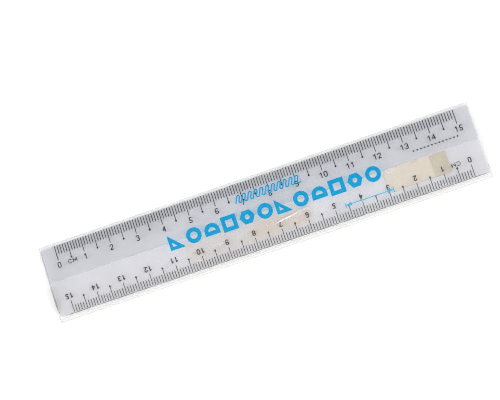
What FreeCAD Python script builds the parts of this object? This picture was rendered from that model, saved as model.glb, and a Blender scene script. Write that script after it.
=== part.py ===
"""A clear plastic straight ruler, graduated along both edges, in its clear printed film sleeve.

Row frame, in millimetres: +X runs along the ruler, towards the upper scale's highest number.
+Y points to the upper scale's edge, and +Z is up, out of the printed face.
The origin is the middle of the sleeve's flat back.
"""

import FreeCAD, Part
import math
import os

Vector = FreeCAD.Vector
UP = Vector(0, 0, 1)

# ---- driving dimensions --------------------------------------------------------------------------
CENTIMETRE = 10.0

BLADE_LENGTH = 161.0
BLADE_WIDTH = 25.0
BLADE_EDGE_THICKNESS = 1.0
BLADE_RIDGE_THICKNESS = 2.0
BLADE_CORNER_RADIUS = 0.6
BLADE_EDGE_RADIUS = 0.12
SCALE_END_MARGIN = 5.5  # least plain length at each end of a scale

INK_THICKNESS = 0.03
UPPER_LINE_WIDTH = 0.27
UPPER_MILLIMETRE_LINE = 3.4
UPPER_HALF_LINE = 5.7
UPPER_CENTIMETRE_LINE = 5.4
UPPER_NUMERAL_HEIGHT = 2.1
UPPER_NUMERAL_STROKE = 0.33
UPPER_NUMERAL_INSET = 7.15  # from the blade's edge to the middle of the numerals
LOWER_LINE_WIDTH = 0.26
LOWER_MILLIMETRE_LINE = 2.65
LOWER_HALF_LINE = 4.75
LOWER_CENTIMETRE_LINE = 4.4
LOWER_NUMERAL_HEIGHT = 2.0
LOWER_NUMERAL_STROKE = 0.4
LOWER_NUMERAL_INSET = 6.15
NUMERAL_GAP = 0.33  # between the two digits of a number
NUMERAL_ASPECT = 0.64  # a numeral's width over its height
HALF_DOT_RADIUS = 0.36
UNIT_MARK_HEIGHT = 1.55
UNIT_MARK_STROKE = 0.25
UNIT_MARK_ASPECT = 1.0  # a letter's width over its height
DOT_ROW_INSET = 9.6  # from the upper edge to the middle of the row of dots
DOT_ROW_PITCH = 1.35
DOT_ROW_COUNT = 13
DOT_ROW_RADIUS = 0.3
DOT_ROW_END = 1.2  # from the last dot to the last centimetre line

TAPE_THICKNESS = 0.06
TAPE_LENGTH = 23.3
TAPE_WIDTH = 8.0
TAPE_END_INSET = 12.4  # from the blade's right end to the tape
TAPE_RIDGE_GAP = 0.15  # from the line under the ridge to the tape's upper edge
TAPE_FOLD_LENGTH = 6.3
TAPE_FOLD_INSET = 0.3  # the folded-back end lies this far inside the tape's long edges

FILM_THICKNESS = 0.1
TAPE_CLEARANCE = 0.08  # between the doubled tape and the back film
END_CLEARANCE = 0.15  # between the blade's left end and the film
TOP_CLEARANCE = 0.2  # between the blade's printed facets and the front film
UPPER_EDGE_PLAY = 0.2
LOWER_EDGE_PLAY = 1.2
SIDE_SEAM_WIDTH = 0.8
END_SEAM_WIDTH = 0.4
MOUTH_OVERHANG = 0.3  # the sleeve's open end reaches this far past the blade
SLEEVE_CORNER_RADIUS = 0.4

PRINT_THICKNESS = 0.02
BAND_HEIGHT = 5.6
BAND_LENGTH = 79.7
BAND_GAP = 1.1  # between neighbouring shapes
BAND_CENTRE_X = 4.9
BAND_CENTRE_Y = -0.2
BAND_RIM = 1.5  # width of the material left around the cut-outs
SET_SQUARE_LEG = 0.8  # width of the set square's sides as a share of BAND_RIM, so that its opening stays
SCRIBBLE_LENGTH = 26.0
SCRIBBLE_HEIGHT = 3.2
SCRIBBLE_STROKE = 0.46
SCRIBBLE_TURN_RADIUS = 0.5
SCRIBBLE_LEAN = 24.0  # degrees from upright
SCRIBBLE_CENTRE_X = 4.6
SCRIBBLE_CENTRE_Y = 6.6
ARROW_LENGTH = 18.0
ARROW_HEIGHT = 2.0
ARROW_HEAD = 2.4
ARROW_STROKE = 0.3
ARROW_CENTRE_X = 38.0
ARROW_CENTRE_Y = -7.6

# ---- derived places ------------------------------------------------------------------------------
BLADE_BOTTOM = FILM_THICKNESS + TAPE_CLEARANCE + 2 * TAPE_THICKNESS
POCKET_WIDTH = LOWER_EDGE_PLAY + BLADE_WIDTH + UPPER_EDGE_PLAY
SLEEVE_WIDTH = POCKET_WIDTH + 2 * (FILM_THICKNESS + SIDE_SEAM_WIDTH)
POCKET_LENGTH = END_CLEARANCE + BLADE_LENGTH + MOUTH_OVERHANG
SLEEVE_LENGTH = END_SEAM_WIDTH + FILM_THICKNESS + POCKET_LENGTH
POCKET_LEFT = SLEEVE_LENGTH / 2 - POCKET_LENGTH
BLADE_LEFT = POCKET_LEFT + END_CLEARANCE
BLADE_RIGHT = BLADE_LEFT + BLADE_LENGTH
BLADE_MID_X = (BLADE_LEFT + BLADE_RIGHT) / 2
BLADE_MID_Y = (LOWER_EDGE_PLAY - UPPER_EDGE_PLAY) / 2
UPPER_EDGE = BLADE_MID_Y + BLADE_WIDTH / 2
LOWER_EDGE = BLADE_MID_Y - BLADE_WIDTH / 2
SCALE_CENTIMETRES = int((BLADE_LENGTH - 2 * SCALE_END_MARGIN) / CENTIMETRE + 1e-6)
SCALE_LENGTH = SCALE_CENTIMETRES * CENTIMETRE
SCALE_LEFT = BLADE_MID_X - SCALE_LENGTH / 2
SCALE_RIGHT = SCALE_LEFT + SCALE_LENGTH
FACET_SLOPE = (BLADE_RIDGE_THICKNESS - BLADE_EDGE_THICKNESS) / (BLADE_WIDTH / 2)
FACET_STRETCH = math.sqrt(1 + FACET_SLOPE**2)  # vertical depth of a layer over its thickness
FILM_UNDERSIDE = TOP_CLEARANCE * FACET_STRETCH  # heights above the blade's facets
FILM_TOP = FILM_UNDERSIDE + FILM_THICKNESS * FACET_STRETCH
STAMP_HEIGHT = BLADE_BOTTOM + BLADE_RIDGE_THICKNESS + FILM_TOP + 1.0


# ---- flat shapes and stamps ----------------------------------------------------------------------
def point(x, y, z=0.0):
    return Vector(x, y, z)


def polygon_face(corners):
    return Part.Face(Part.makePolygon([*corners, corners[0]]))


def oval_edge(centre, across, up, start, end):
    """Part of an oval of radii across and up, anticlockwise from start to end, in degrees."""
    if across > up:
        oval = Part.Ellipse(centre, across, up)
    elif up > across:
        oval = Part.Ellipse(centre + point(0, up), centre - point(across, 0), centre)
        start, end = start - 90, end - 90
    else:
        oval = Part.Circle(centre, UP, across)
    return oval.toShape(math.radians(start), math.radians(end))


def disc_face(centre, radius):
    return Part.Face(Part.Wire(Part.makeCircle(radius, centre, UP)))


def stamp(face):
    """A face on the ground, raised into a prism that passes through the whole part."""
    return face.extrude(UP * STAMP_HEIGHT)


def line_stroke(start, end, width):
    """A straight stroke with round ends."""
    half = width / 2
    along = (end - start).normalize()
    side = Vector(-along.y, along.x, 0) * half
    edges = [
        Part.makeLine(start - side, end - side),
        Part.Arc(end - side, end + along * half, end + side).toShape(),
        Part.makeLine(end + side, start + side),
        Part.Arc(start + side, start - along * half, start - side).toShape(),
    ]
    return stamp(Part.Face(Part.Wire(edges)))


def ring_stroke(centre, across, up, width):
    half = width / 2
    outer = Part.Face(Part.Wire(oval_edge(centre, across + half, up + half, 0, 360)))
    inner = Part.Face(Part.Wire(oval_edge(centre, across - half, up - half, 0, 360)))
    return stamp(outer.cut(inner))


def arc_stroke(centre, across, up, start, end, width):
    """A curved stroke with round ends, anticlockwise from start to end, in degrees."""
    half = width / 2
    outer = oval_edge(centre, across + half, up + half, start, end)
    inner = oval_edge(centre, across - half, up - half, start, end)
    outer_ends = [outer.valueAt(outer.FirstParameter), outer.valueAt(outer.LastParameter)]
    inner_ends = [inner.valueAt(inner.FirstParameter), inner.valueAt(inner.LastParameter)]
    first_side = Part.makeLine(inner_ends[0], outer_ends[0])
    last_side = Part.makeLine(outer_ends[1], inner_ends[1])
    body = stamp(Part.Face(Part.Wire([outer, last_side, inner, first_side])))
    caps = [stamp(disc_face((a + b) * 0.5, half)) for a, b in zip(outer_ends, inner_ends)]
    return body.multiFuse(caps)


def joined(solids):
    """Solids that overlap, as one solid."""
    if len(solids) == 1:
        return solids[0]
    return solids[0].multiFuse(solids[1:]).removeSplitter()


# ---- lettering of the scales ---------------------------------------------------------------------
def figure_strokes(name, w, r):
    """A figure's centre lines, in a box 2w wide and 4r high: lines, arcs and rings."""
    high, low = (w, 3 * r), (w, r)
    strokes = {
        "0": [("arc", high, 0, 180), ("arc", low, 180, 360), ("line", 0, 1, 0, 3), ("line", 2, 1, 2, 3)],
        "1": [("line", 1.3, 0, 1.3, 4), ("line", 1.3, 4, 0.4, 3.2)],
        "2": [("arc", high, -30, 180), ("line", 1.866, 2.5, 0, 0), ("line", 0, 0, 2, 0)],
        "3": [("arc", high, -90, 150), ("arc", low, -150, 90)],
        "4": [("line", 1.5, 0, 1.5, 4), ("line", 1.5, 4, 0, 1.2), ("line", 0, 1.2, 2, 1.2)],
        "5": [("arc", low, -150, 120), ("line", 0.5, 1.866, 0.5, 4), ("line", 0.5, 4, 2, 4)],
        "6": [("ring", low), ("line", 0, 1, 0, 3), ("arc", high, 30, 180)],
        "7": [("line", 0, 4, 2, 4), ("line", 2, 4, 0.6, 0)],
        "8": [("ring", high), ("ring", low)],
        "9": [("ring", high), ("line", 2, 1, 2, 3), ("arc", low, -150, 0)],
        "C": [("bowl", 40, 320)],
        "M": [("line", 0, 0, 0, 4), ("line", 0, 4, 1, 1), ("line", 1, 1, 2, 4), ("line", 2, 4, 2, 0)],
    }
    return strokes[name]


def figure_stamp(name, height, aspect, stroke):
    """A figure as a stamp, with its lower left corner at the origin."""
    r = (height - stroke) / 4
    w = (height * aspect - stroke) / 2
    corner = point(stroke / 2, stroke / 2)
    parts = []
    for kind, *where in figure_strokes(name, w, r):
        if kind == "line":
            x0, y0, x1, y1 = where
            parts.append(line_stroke(corner + point(x0 * w, y0 * r), corner + point(x1 * w, y1 * r), stroke))
        elif kind == "ring":
            parts.append(ring_stroke(corner + point(*where[0]), w, r, stroke))
        elif kind == "arc":
            parts.append(arc_stroke(corner + point(*where[0]), w, r, where[1], where[2], stroke))
        else:
            parts.append(arc_stroke(corner + point(w, 2 * r), w, 2 * r, where[0], where[1], stroke))
    return joined(parts)


def word_stamps(text, height, aspect, stroke, gap):
    """A row of figures as stamps, with the row's middle at the origin."""
    advance = height * aspect + gap
    width = advance * len(text) - gap
    row = []
    for i, name in enumerate(text):
        figure = figure_stamp(name, height, aspect, stroke)
        figure.translate(point(i * advance - width / 2, -height / 2))
        row.append(figure)
    return row


# ---- layers on the sloping facets ----------------------------------------------------------------
def roof_profile(x, half_width, foot, above):
    """The cross-section under the blade's two facets raised by above, down to the height foot."""
    edge = BLADE_BOTTOM + BLADE_RIDGE_THICKNESS - FACET_SLOPE * half_width + above
    ridge = BLADE_BOTTOM + BLADE_RIDGE_THICKNESS + above
    return [
        point(x, BLADE_MID_Y - half_width, foot),
        point(x, BLADE_MID_Y + half_width, foot),
        point(x, BLADE_MID_Y + half_width, edge),
        point(x, BLADE_MID_Y, ridge),
        point(x, BLADE_MID_Y - half_width, edge),
    ]


def layer(low, high):
    """The slab between two heights above the facets, over the whole sleeve."""
    reach, left = SLEEVE_WIDTH, -SLEEVE_LENGTH
    top = polygon_face(roof_profile(left, reach, -reach, high)).extrude(Vector(-2 * left, 0, 0))
    under = polygon_face(roof_profile(left, reach, -reach, low)).extrude(Vector(-2 * left, 0, 0))
    return top.cut(under)


def printed(stamps, low, thickness):
    """Stamps cut down to an ink layer that lies on the facets, or on the film above them."""
    slab = layer(low, low + thickness * FACET_STRETCH)
    return Part.makeCompound([s for one in stamps for s in one.common(slab).Solids])


# ---- ruler ---------------------------------------------------------------------------------------
def blade():
    """A flat back and two shallow facets that meet in a ridge along the middle."""
    profile = polygon_face(roof_profile(BLADE_LEFT, BLADE_WIDTH / 2, BLADE_BOTTOM, 0))
    body = profile.extrude(Vector(BLADE_LENGTH, 0, 0))
    ends = (BLADE_LEFT, BLADE_RIGHT)
    sides = (LOWER_EDGE, UPPER_EDGE)

    def lies_on(value, places):
        return any(abs(value - place) < 1e-6 for place in places)

    corners = []
    for edge in body.Edges:
        a, b = (v.Point for v in edge.Vertexes)
        if lies_on(a.x, ends) and lies_on(a.y, sides) and abs(a.x - b.x) + abs(a.y - b.y) < 1e-6:
            corners.append(edge)
    body = body.makeFillet(BLADE_CORNER_RADIUS, corners)
    rim = []
    for face in body.Faces:
        if abs(face.normalAt(0, 0).z) > 0.9:
            rim += [e for e in face.Edges if not is_ridge(e)]
    return body.makeFillet(BLADE_EDGE_RADIUS, rim)


def is_ridge(edge):
    return all(abs(v.Point.y - BLADE_MID_Y) < 1e-6 for v in edge.Vertexes)


def scale_line(x, edge, inward, length, width):
    """A graduation from the blade's edge, as a stamp. inward is -1 for the upper edge and 1 for the lower."""
    start = edge + inward * BLADE_EDGE_RADIUS
    end = edge + inward * length
    corners = [
        point(x - width / 2, start),
        point(x + width / 2, start),
        point(x + width / 2, end),
        point(x - width / 2, end),
    ]
    return stamp(polygon_face(corners if inward > 0 else corners[::-1]))


def scale_lines(edge, inward, width, millimetre, half, whole):
    """The three kinds of graduation of one scale, as stamps."""
    fine, halves, wholes = [], [], []
    for i in range(int(SCALE_LENGTH) + 1):
        x = SCALE_LEFT + i
        if i % 10 == 0:
            wholes.append(scale_line(x, edge, inward, whole, width))
        elif i % 5 == 0:
            dot = stamp(disc_face(point(x, edge + inward * half), HALF_DOT_RADIUS))
            halves.append(joined([scale_line(x, edge, inward, half, width), dot]))
        else:
            fine.append(scale_line(x, edge, inward, millimetre, width))
    return fine, halves, wholes


def numerals(y, height, stroke, turned):
    """The scale's numbers as stamps. A turned scale starts at the right and reads from the other side."""
    figures = []
    for n in range(SCALE_CENTIMETRES + 1):
        x = SCALE_RIGHT - n * CENTIMETRE if turned else SCALE_LEFT + n * CENTIMETRE
        for figure in word_stamps(str(n), height, NUMERAL_ASPECT, stroke, NUMERAL_GAP):
            if turned:
                figure.rotate(point(0, 0), UP, 180)
            figure.translate(point(x, y))
            figures.append(figure)
    return figures


def unit_mark(x, y, turned):
    figures = word_stamps("CM", UNIT_MARK_HEIGHT, UNIT_MARK_ASPECT, UNIT_MARK_STROKE, UNIT_MARK_STROKE)
    for figure in figures:
        if turned:
            figure.rotate(point(0, 0), UP, 180)
        figure.translate(point(x, y))
    return figures


def dot_row():
    """A plain row of small dots under the last numbers of the upper scale."""
    last = SCALE_RIGHT - DOT_ROW_END
    y = UPPER_EDGE - DOT_ROW_INSET
    return [
        stamp(disc_face(point(last - i * DOT_ROW_PITCH, y), DOT_ROW_RADIUS))
        for i in range(DOT_ROW_COUNT)
    ]


def rectangle_face(x0, y0, x1, y1):
    return polygon_face([point(x0, y0), point(x1, y0), point(x1, y1), point(x0, y1)])


def tape_strip():
    """A strip of tape on the blade's flat back, below the ridge, its right end folded back on itself."""
    right = BLADE_RIGHT - TAPE_END_INSET
    top = BLADE_MID_Y - TAPE_RIDGE_GAP
    strip = Part.makeBox(
        TAPE_LENGTH,
        TAPE_WIDTH,
        TAPE_THICKNESS,
        point(right - TAPE_LENGTH, top - TAPE_WIDTH, BLADE_BOTTOM - TAPE_THICKNESS),
    )
    fold_floor = BLADE_BOTTOM - 2 * TAPE_THICKNESS
    fold = Part.makeBox(
        TAPE_FOLD_LENGTH,
        TAPE_WIDTH - 2 * TAPE_FOLD_INSET,
        TAPE_THICKNESS,
        point(right - TAPE_FOLD_LENGTH, top - TAPE_WIDTH + TAPE_FOLD_INSET, fold_floor),
    )
    return strip.fuse(fold).removeSplitter()


# ---- sleeve --------------------------------------------------------------------------------------
def rounded_plate(x0, x1, y0, y1, z0, z1, radius):
    plate = Part.makeBox(x1 - x0, y1 - y0, z1 - z0, point(x0, y0, z0))
    upright = [e for e in plate.Edges if abs(e.tangentAt(e.FirstParameter).z) > 0.9]
    return plate.makeFillet(radius, upright)


def pocket_profile(x, grow):
    """The pocket's cross-section, from the lower seam over the blade to the upper seam, grown by grow."""
    low = -POCKET_WIDTH / 2 - grow
    high = POCKET_WIDTH / 2 + grow
    lift = FILM_UNDERSIDE + grow * FACET_STRETCH
    ridge = BLADE_BOTTOM + BLADE_RIDGE_THICKNESS + lift
    shoulder = LOWER_EDGE - TOP_CLEARANCE - grow
    return [
        point(x, low, FILM_THICKNESS),
        point(x, high, FILM_THICKNESS),
        point(x, high, ridge - FACET_SLOPE * (high - BLADE_MID_Y)),
        point(x, BLADE_MID_Y, ridge),
        point(x, shoulder, ridge - FACET_SLOPE * (BLADE_MID_Y - shoulder)),
    ]


def back_film():
    half_length, half_width = SLEEVE_LENGTH / 2, SLEEVE_WIDTH / 2
    return rounded_plate(
        -half_length, half_length, -half_width, half_width, 0, FILM_THICKNESS, SLEEVE_CORNER_RADIUS
    )


def front_film():
    """The upper film: a tunnel over the blade, closed at the left, with a flat seam on three sides."""
    half_length, half_width = SLEEVE_LENGTH / 2, SLEEVE_WIDTH / 2
    left = POCKET_LEFT - FILM_THICKNESS
    seam_top = 2 * FILM_THICKNESS
    seam = rounded_plate(
        -half_length, half_length, -half_width, half_width, FILM_THICKNESS, seam_top, SLEEVE_CORNER_RADIUS
    )
    outer = polygon_face(pocket_profile(left, FILM_THICKNESS)).extrude(
        Vector(SLEEVE_LENGTH / 2 - left, 0, 0)
    )
    inner = polygon_face(pocket_profile(POCKET_LEFT, 0)).extrude(Vector(POCKET_LENGTH, 0, 0))
    return flat_panels(seam.fuse(outer).cut(inner).removeSplitter())


def flat_panels(film):
    """The film parted along its folds, so that every panel is a flat solid that meets its neighbours."""
    half_length, half_width = SLEEVE_LENGTH / 2, SLEEVE_WIDTH / 2
    left = POCKET_LEFT - FILM_THICKNESS
    wall = POCKET_WIDTH / 2 + FILM_THICKNESS
    fields = [
        (-half_length, left, -half_width, half_width),
        (left, half_length, -half_width, -wall),
        (left, half_length, wall, half_width),
        (left, POCKET_LEFT, -wall, wall),
    ]
    folds = (-wall, LOWER_EDGE - TOP_CLEARANCE, BLADE_MID_Y, POCKET_WIDTH / 2, wall)
    fields += [(POCKET_LEFT, half_length, low, high) for low, high in zip(folds, folds[1:])]
    panels = []
    for x0, x1, y0, y1 in fields:
        panels += film.common(Part.makeBox(x1 - x0, y1 - y0, STAMP_HEIGHT, point(x0, y0))).Solids
    return Part.makeCompound(panels)


# ---- prints on the sleeve ------------------------------------------------------------------------
def set_square(rim):
    """A right triangle with a triangular cut-out."""
    h = BAND_HEIGHT
    leg = rim * SET_SQUARE_LEG
    outer = polygon_face([point(0, 0), point(h, 0), point(0, h)])
    reach = h - leg * (2 + math.sqrt(2))
    return outer.cut(polygon_face([point(leg, leg), point(leg + reach, leg), point(leg, leg + reach)]))


def ring_mark(rim):
    centre, radius = point(BAND_HEIGHT / 2, BAND_HEIGHT / 2), BAND_HEIGHT / 2
    return disc_face(centre, radius).cut(disc_face(centre, radius - rim))


def protractor(rim):
    """A half disc on a straight base, with a half-round cut-out."""
    h = BAND_HEIGHT
    radius, base = h / 2, rim
    centre = point(radius, h / 2 - radius / 2 + base / 2)

    def half_disc(size, floor):
        arc = oval_edge(point(centre.x, floor), size, size, 0, 180)
        line = Part.makeLine(point(centre.x - size, floor), point(centre.x + size, floor))
        return Part.Face(Part.Wire([arc, line]))

    foot = rectangle_face(0, centre.y - base, h, centre.y)
    whole = half_disc(radius, centre.y).fuse(foot).removeSplitter()
    return whole.cut(half_disc(radius - rim, centre.y))


def square_frame(rim):
    h = BAND_HEIGHT
    return rectangle_face(0, 0, h, h).cut(rectangle_face(rim, rim, h - rim, h - rim))


def hexagon(rim):
    centre, radius = point(BAND_HEIGHT / 2, BAND_HEIGHT / 2), BAND_HEIGHT / 2
    corners = [
        centre + Vector(math.cos(math.radians(60 * i)), math.sin(math.radians(60 * i)), 0) * radius
        for i in range(6)
    ]
    return polygon_face(corners).cut(disc_face(centre, radius - rim * 1.3))


def band_print():
    """A row of drawing-office shapes: set squares, rings, protractors, frames and hexagons."""
    kinds = (set_square, ring_mark, protractor, square_frame, hexagon, ring_mark)
    pitch = BAND_HEIGHT + BAND_GAP
    count = int((BAND_LENGTH + BAND_GAP) / pitch + 1e-6)
    left = BAND_CENTRE_X - (count * pitch - BAND_GAP) / 2
    low = BLADE_MID_Y + BAND_CENTRE_Y - BAND_HEIGHT / 2
    stamps = []
    for i in range(count):
        shape = kinds[i % len(kinds)](BAND_RIM)
        shape.translate(point(left + i * pitch, low))
        stamps.append(stamp(shape))
    return printed(stamps, FILM_TOP, PRINT_THICKNESS)


def scribble_print():
    """A pen scribble: leaning strokes joined by half turns, the upward strokes longer than the downward."""
    lean = math.radians(SCRIBBLE_LEAN)
    radius = SCRIBBLE_TURN_RADIUS
    along = point(math.sin(lean), math.cos(lean))
    across = point(math.cos(lean), -math.sin(lean))
    pitch = 4 * radius / math.cos(lean)
    drop = 2 * radius * math.tan(lean)
    mean = (SCRIBBLE_HEIGHT - SCRIBBLE_STROKE - 2 * radius) / math.cos(lean)
    count = int(SCRIBBLE_LENGTH / pitch)
    foot = point(
        SCRIBBLE_CENTRE_X - count * pitch / 2,
        BLADE_MID_Y + SCRIBBLE_CENTRE_Y - mean * math.cos(lean) / 2,
    )
    strokes = []
    for _ in range(count):
        top = foot + along * (mean + drop)
        far_top = top + across * (2 * radius)
        far_foot = far_top - along * (mean - drop)
        next_foot = far_foot + across * (2 * radius)
        strokes.append(line_stroke(foot, top, SCRIBBLE_STROKE))
        strokes.append(line_stroke(far_top, far_foot, SCRIBBLE_STROKE))
        strokes.append(half_turn(top, far_top, 0))
        strokes.append(half_turn(far_foot, next_foot, 180))
        foot = next_foot
    return printed([joined(strokes)], FILM_TOP, PRINT_THICKNESS)


def half_turn(start, end, turn):
    """A half ring over the line from start to end, or under it with a turn of 180 degrees."""
    stroke = arc_stroke(
        point(0, 0), SCRIBBLE_TURN_RADIUS, SCRIBBLE_TURN_RADIUS, turn, turn + 180, SCRIBBLE_STROKE
    )
    stroke.rotate(point(0, 0), UP, -SCRIBBLE_LEAN)
    stroke.translate((start + end) * 0.5)
    return stroke


def arrow_print():
    """A dimension line: a bar at each end and an arrow head against each bar."""
    y = BLADE_MID_Y + ARROW_CENTRE_Y
    left, right = ARROW_CENTRE_X - ARROW_LENGTH / 2, ARROW_CENTRE_X + ARROW_LENGTH / 2
    bar = ARROW_STROKE / 2
    parts = [stamp(rectangle_face(left, y - bar, right, y + bar))]
    for x, inward in ((left, 1), (right, -1)):
        low, high = sorted((x, x + inward * ARROW_STROKE))
        parts.append(stamp(rectangle_face(low, y - ARROW_HEIGHT / 2, high, y + ARROW_HEIGHT / 2)))
        back = x + inward * ARROW_HEAD
        head = [point(x, y), point(back, y - ARROW_HEIGHT / 3), point(back, y + ARROW_HEIGHT / 3)]
        parts.append(stamp(polygon_face(head)))
    return printed([joined(parts)], FILM_TOP, PRINT_THICKNESS)


# ---- build ---------------------------------------------------------------------------------------
def ruler_nodes():
    upper = scale_lines(
        UPPER_EDGE, -1, UPPER_LINE_WIDTH, UPPER_MILLIMETRE_LINE, UPPER_HALF_LINE, UPPER_CENTIMETRE_LINE
    )
    lower = scale_lines(
        LOWER_EDGE, 1, LOWER_LINE_WIDTH, LOWER_MILLIMETRE_LINE, LOWER_HALF_LINE, LOWER_CENTIMETRE_LINE
    )
    upper_y, lower_y = UPPER_EDGE - UPPER_NUMERAL_INSET, LOWER_EDGE + LOWER_NUMERAL_INSET
    half = CENTIMETRE / 2
    stamps = {
        "upper_millimetre_lines": upper[0],
        "upper_half_centimetre_lines": upper[1],
        "upper_centimetre_lines": upper[2],
        "upper_numerals": numerals(upper_y, UPPER_NUMERAL_HEIGHT, UPPER_NUMERAL_STROKE, False),
        "upper_unit_mark": unit_mark(SCALE_LEFT + half, upper_y, False),
        "upper_dot_row": dot_row(),
        "lower_millimetre_lines": lower[0],
        "lower_half_centimetre_lines": lower[1],
        "lower_centimetre_lines": lower[2],
        "lower_numerals": numerals(lower_y, LOWER_NUMERAL_HEIGHT, LOWER_NUMERAL_STROKE, True),
        "lower_unit_mark": unit_mark(SCALE_RIGHT - half, lower_y, True),
    }
    nodes = {name: printed(group, 0, INK_THICKNESS) for name, group in stamps.items()}
    nodes["tape_strip"] = tape_strip()
    nodes["blade"] = blade()
    return nodes


def sleeve_nodes():
    return {
        "back_film": back_film(),
        "front_film": front_film(),
        "sleeve_band_print": band_print(),
        "sleeve_scribble_print": scribble_print(),
        "sleeve_arrow_print": arrow_print(),
    }


def main():
    os.makedirs("parts", exist_ok=True)
    for name, shape in {**ruler_nodes(), **sleeve_nodes()}.items():
        shape.exportStep(f"parts/{name}.step")
        print(name, len(shape.Solids), "solids, valid", shape.isValid(), "volume", round(shape.Volume, 3))
    print("sleeve", round(SLEEVE_LENGTH, 2), "x", round(SLEEVE_WIDTH, 2), "scale", SCALE_CENTIMETRES, "cm")


main()
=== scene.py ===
import math

import bmesh
import bpy
from bpy.props import FloatProperty, FloatVectorProperty, IntProperty, PointerProperty
from mathutils import Euler, Matrix, Vector, geometry, noise


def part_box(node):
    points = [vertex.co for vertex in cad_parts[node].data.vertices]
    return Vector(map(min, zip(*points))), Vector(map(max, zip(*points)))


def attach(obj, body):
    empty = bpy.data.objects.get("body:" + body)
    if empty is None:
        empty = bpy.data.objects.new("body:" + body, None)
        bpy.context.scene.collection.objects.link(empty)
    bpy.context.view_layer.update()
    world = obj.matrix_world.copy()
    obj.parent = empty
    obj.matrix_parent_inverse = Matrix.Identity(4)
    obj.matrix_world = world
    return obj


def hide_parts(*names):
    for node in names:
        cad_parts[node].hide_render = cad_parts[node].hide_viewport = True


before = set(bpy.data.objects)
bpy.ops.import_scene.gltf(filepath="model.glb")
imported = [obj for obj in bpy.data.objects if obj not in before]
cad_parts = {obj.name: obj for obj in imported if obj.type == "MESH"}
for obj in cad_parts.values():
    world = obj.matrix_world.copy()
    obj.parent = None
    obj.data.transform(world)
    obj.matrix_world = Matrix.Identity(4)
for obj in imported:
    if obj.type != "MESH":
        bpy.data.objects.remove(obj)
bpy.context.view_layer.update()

bl_info = {
    "name": "Plastic ruler in a film sleeve",
    "version": (1, 0, 0),
    "blender": (4, 5, 0),
    "location": "3D View > Sidebar > Ruler",
    "description": "Finishes a clear graduated ruler, its strip of tape and its printed film sleeve",
    "category": "Object",
}

MM = 0.001
BLADE_LOW, BLADE_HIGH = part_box("blade")
FILM_LOW, FILM_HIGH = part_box("front_film")
BACK_LOW, BACK_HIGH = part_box("back_film")
TAPE_LOW, TAPE_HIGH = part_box("tape_strip")
RIDGE_Y = (BLADE_LOW.y + BLADE_HIGH.y) / 2
BLACK_NODES = [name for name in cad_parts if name.startswith(("upper_", "lower_"))]


def facet_slope():
    """How steeply the blade's printed facets fall away from the ridge."""
    rounding = 0.3 * MM
    places = [v.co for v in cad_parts["blade"].data.vertices]
    shoulder = max((co for co in places if BLADE_HIGH.y - co.y < rounding), key=lambda co: co.z)
    return (BLADE_HIGH.z - shoulder.z) / (shoulder.y - RIDGE_Y)


FACET_SLOPE = facet_slope()


# ---- settings -------------------------------------------------------------------------------------
def length(name, description, default):
    return FloatProperty(
        name=name, description=description, default=default, min=0, unit="LENGTH", precision=5
    )


def share(name, description, default):
    return FloatProperty(
        name=name, description=description, default=default, min=0, max=1, subtype="FACTOR"
    )


def colour(name, description, default):
    return FloatVectorProperty(
        name=name, description=description, default=default, size=3, min=0, max=1, subtype="COLOR"
    )


def power(name, description, default):
    return FloatProperty(name=name, description=description, default=default, min=0, unit="POWER")


class BladeSettings(bpy.types.PropertyGroup):
    tint: colour("Tint", "Colour that the plastic gives to light passing through", (0.902, 0.904, 0.930))
    cloud: share("Clouding", "How milky the old plastic has become", 0.012)
    gloss_roughness: share("Roughness", "Roughness of the plastic between its scratches", 0.02)
    scratch_roughness: share("Scratch roughness", "Roughness inside a scratch", 0.25)
    unevenness: length("Unevenness", "Depth of the surface's fine unevenness", 0.0006 * MM)
    stain: colour("Stain", "Colour of the glue that an old strip of tape left", (0.86, 0.785, 0.715))


class PrintSettings(bpy.types.PropertyGroup):
    black: colour("Black ink", "Colour of the stamped scales", (0.004, 0.004, 0.005))
    blue: colour("Blue ink", "Colour of the sleeve's band and scribble", (0.0, 0.262, 0.50))
    light_blue: colour("Light-blue ink", "Colour of the sleeve's dimension arrow", (0.06, 0.36, 0.60))
    glow: colour("Glow", "Colour of the light that the sleeve's ink lets through", (0.62, 0.86, 0.97))
    wear: share("Wear", "Share of the black ink that has rubbed away", 0.09)
    film_wear: share("Film print wear", "Share of the sleeve's ink that has flaked away", 0.1)
    roughness: share("Roughness", "Roughness of the dry ink", 0.42)


class TapeSettings(bpy.types.PropertyGroup):
    single: colour("Single layer", "Colour of one layer of aged tape", (0.93, 0.82, 0.61))
    double: colour("Double layer", "Colour where the tape lies on itself", (0.75, 0.645, 0.45))
    thickness: length("Thickness", "Thickness of the tape", 0.045 * MM)
    crinkle: length("Crinkle", "Height of the crinkles in the tape", 0.006 * MM)
    columns: IntProperty(name="Columns", description="Faces along the tape", default=150, min=8)
    rows: IntProperty(name="Rows", description="Faces across the tape", default=40, min=4)


class SleeveSettings(bpy.types.PropertyGroup):
    film_thickness: length("Film thickness", "Thickness of each film", 0.095 * MM)
    ripple: length("Ripple", "How far the film dips between the places where it is tight", 0.06 * MM)
    fold_reach: length("Fold reach", "How far a fold is rounded each side", 0.3 * MM)
    crease_height: length("Crease height", "Height of a sharp crease", 0.10 * MM)
    crease_width: length("Crease width", "Half the width of a sharp crease", 0.28 * MM)
    bead_height: length("Weld bead", "Height of the melted bead along the welded edges", 0.07 * MM)
    bead_width: length("Bead width", "Width of the melted bead", 0.35 * MM)
    gloss: share("Gloss", "Share of light that each side of the film mirrors straight on", 0.022)
    haze: share("Haze", "How milky the clear film is", 0.006)
    roughness: share("Roughness", "Roughness of the film", 0.05)
    columns: IntProperty(name="Columns", description="Faces along the film", default=290, min=20)
    rows: IntProperty(name="Rows", description="Faces across the film", default=126, min=20)


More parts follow.
